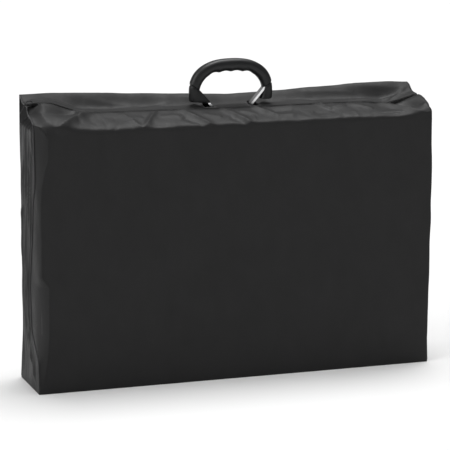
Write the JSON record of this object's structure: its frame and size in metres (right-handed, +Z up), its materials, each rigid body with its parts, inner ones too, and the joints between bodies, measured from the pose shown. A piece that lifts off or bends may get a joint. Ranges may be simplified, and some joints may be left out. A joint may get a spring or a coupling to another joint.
{
  "type": "portable massage table",
  "caption": "Folding massage table shut inside its zipped black carry cover, standing on its long edge, with a moulded carrying handle on top.",
  "frame": {"origin": "middle of the cover's base panel, on the floor", "axes": "+X along the long side, +Y from the front to the back, +Z up; the centre hinge is upright at the +X end"},
  "size_m": [0.9651, 0.1701, 0.735],
  "materials": {
    "beech": "beech, clear satin lacquer",
    "binding_webbing": "black woven tape",
    "birch_plywood": "birch plywood, clear lacquer",
    "cover_cloth": "black woven nylon, soft sheen",
    "foam": "open-cell foam",
    "foot_rubber": "black rubber",
    "handle_plastic": "black moulded plastic, fine texture",
    "knob_plastic": "black moulded plastic",
    "plated_steel": "bright nickel plated steel",
    "vinyl": "black grained vinyl",
    "zinc_steel": "zinc plated steel",
    "zip_metal": "black enamelled die-cast metal",
    "zip_tape": "black woven zip tape",
    "zip_teeth": "black nylon coil"
  },
  "bodies": {
    "root": {"cover_base_panel": "cover_cloth", "cover_front_panel": "cover_cloth", "cover_handle_bindings": "binding_webbing", "cover_left_gusset": "cover_cloth", "cover_rear_panel": "cover_cloth", "cover_right_gusset": "cover_cloth", "handle_brackets": "plated_steel", "handle_pins": "plated_steel", "handle_screws": "plated_steel", "hinge_pins": "zinc_steel", "latch_bases": "plated_steel", "latch_pins": "plated_steel", "rear_board": "birch_plywood", "rear_end_rail": "beech", "rear_foam": "foam", "rear_hinge_leaves": "zinc_steel", "rear_hinge_rail": "beech", "rear_hinge_screws": "zinc_steel", "rear_pivot_blocks": "beech", "rear_pivot_bolts": "zinc_steel", "rear_side_rails": "beech", "rear_upholstery": "vinyl", "zip_end_stops": "zip_metal", "zip_front_tape": "zip_tape", "zip_rear_tape": "zip_tape", "zip_teeth": "zip_teeth"},
    "front_half": {"front_board": "birch_plywood", "front_foam": "foam", "front_upholstery": "vinyl", "front_side_rails": "beech", "front_hinge_rail": "beech", "front_end_rail": "beech", "front_pivot_blocks": "beech", "front_pivot_bolts": "zinc_steel", "front_hinge_leaves": "zinc_steel", "front_hinge_screws": "zinc_steel", "latch_keepers": "plated_steel"},
    "latches": {"latch_levers": "plated_steel"},
    "handle": {"handle_grip": "handle_plastic", "handle_core": "plated_steel"},
    "zip_runner": {"zip_slider": "zip_metal"},
    "zip_tab": {"zip_pull": "zip_metal"},
    "rear_leg_pair": {"rear_leg_uprights": "beech", "rear_leg_crossbars": "beech", "rear_height_bolts": "zinc_steel"},
    "front_leg_pair": {"front_leg_uprights": "beech", "front_leg_crossbars": "beech", "front_height_bolts": "zinc_steel"},
    "rear_lower_leg_end": {"rear_lower_extension": "beech", "rear_lower_foot": "foot_rubber"},
    "rear_upper_leg_end": {"rear_upper_extension": "beech", "rear_upper_foot": "foot_rubber"},
    "front_lower_leg_end": {"front_lower_extension": "beech", "front_lower_foot": "foot_rubber"},
    "front_upper_leg_end": {"front_upper_extension": "beech", "front_upper_foot": "foot_rubber"},
    "rear_lower_knob_body": {"rear_lower_knob": "knob_plastic"},
    "rear_upper_knob_body": {"rear_upper_knob": "knob_plastic"},
    "front_lower_knob_body": {"front_lower_knob": "knob_plastic"},
    "front_upper_knob_body": {"front_upper_knob": "knob_plastic"}
  },
  "joints": [
    {"name": "table_fold", "type": "hinge", "parent": "root", "child": "front_half", "pos_m": [0.465, 0, 0.304], "axis": [0, 0, 1], "range_deg": [0, 180], "deforming": ["cover_front_panel", "cover_rear_panel", "cover_left_gusset", "cover_right_gusset", "cover_handle_bindings", "zip_front_tape", "zip_rear_tape", "zip_teeth", "zip_end_stops"]},
    {"name": "rear_legs_swing", "type": "hinge", "parent": "root", "child": "rear_leg_pair", "pos_m": [-0.395, 0.023, 0.304], "axis": [0, 0, -1], "range_deg": [0, 90]},
    {"name": "front_legs_swing", "type": "hinge", "parent": "front_half", "child": "front_leg_pair", "pos_m": [-0.395, -0.023, 0.304], "axis": [0, 0, 1], "range_deg": [0, 90]},
    {"name": "latch_release", "type": "hinge", "parent": "root", "child": "latches", "pos_m": [-0.4696, 0.0165, 0.304], "axis": [0, 0, -1], "range_deg": [0, 90]},
    {"name": "rear_lower_leg_height", "type": "slide", "parent": "rear_leg_pair", "child": "rear_lower_leg_end", "axis": [1, 0, 0], "range_m": [0, 0.165]},
    {"name": "rear_upper_leg_height", "type": "slide", "parent": "rear_leg_pair", "child": "rear_upper_leg_end", "axis": [1, 0, 0], "range_m": [0, 0.165]},
    {"name": "front_lower_leg_height", "type": "slide", "parent": "front_leg_pair", "child": "front_lower_leg_end", "axis": [1, 0, 0], "range_m": [0, 0.165]},
    {"name": "front_upper_leg_height", "type": "slide", "parent": "front_leg_pair", "child": "front_upper_leg_end", "axis": [1, 0, 0], "range_m": [0, 0.165]},
    {"name": "rear_lower_knob_turn", "type": "hinge", "parent": "rear_leg_pair", "child": "rear_lower_knob_body", "pos_m": [-0.095, 0.023, 0.08], "axis": [0, 0, 1], "continuous": true},
    {"name": "rear_upper_knob_turn", "type": "hinge", "parent": "rear_leg_pair", "child": "rear_upper_knob_body", "pos_m": [-0.095, 0.023, 0.528], "axis": [0, 0, -1], "continuous": true},
    {"name": "front_lower_knob_turn", "type": "hinge", "parent": "front_leg_pair", "child": "front_lower_knob_body", "pos_m": [-0.095, -0.023, 0.104], "axis": [0, 0, 1], "continuous": true},
    {"name": "front_upper_knob_turn", "type": "hinge", "parent": "front_leg_pair", "child": "front_upper_knob_body", "pos_m": [-0.095, -0.023, 0.504], "axis": [0, 0, -1], "continuous": true},
    {"name": "handle_swing", "type": "hinge", "parent": "root", "child": "handle", "pos_m": [0.018, 0.025, 0.614], "axis": [1, 0, 0], "range_deg": [-10, 30]},
    {"name": "zip_slide", "type": "slide", "parent": "root", "child": "zip_runner", "axis": [0.9995, 0, -0.0313], "range_m": [0, 0.92]},
    {"name": "zip_pull_swing", "type": "hinge", "parent": "zip_runner", "child": "zip_tab", "pos_m": [-0.4745, 0, 0.6599], "axis": [0, 1, 0], "range_deg": [0, 230]}
  ],
  "couplings": [
    {"joint": "rear_legs_swing", "follows": "table_fold", "ratio": 0.5},
    {"joint": "front_legs_swing", "follows": "table_fold", "ratio": 0.5},
    {"joint": "latch_release", "follows": "table_fold", "ratio": 0.5}
  ]
}
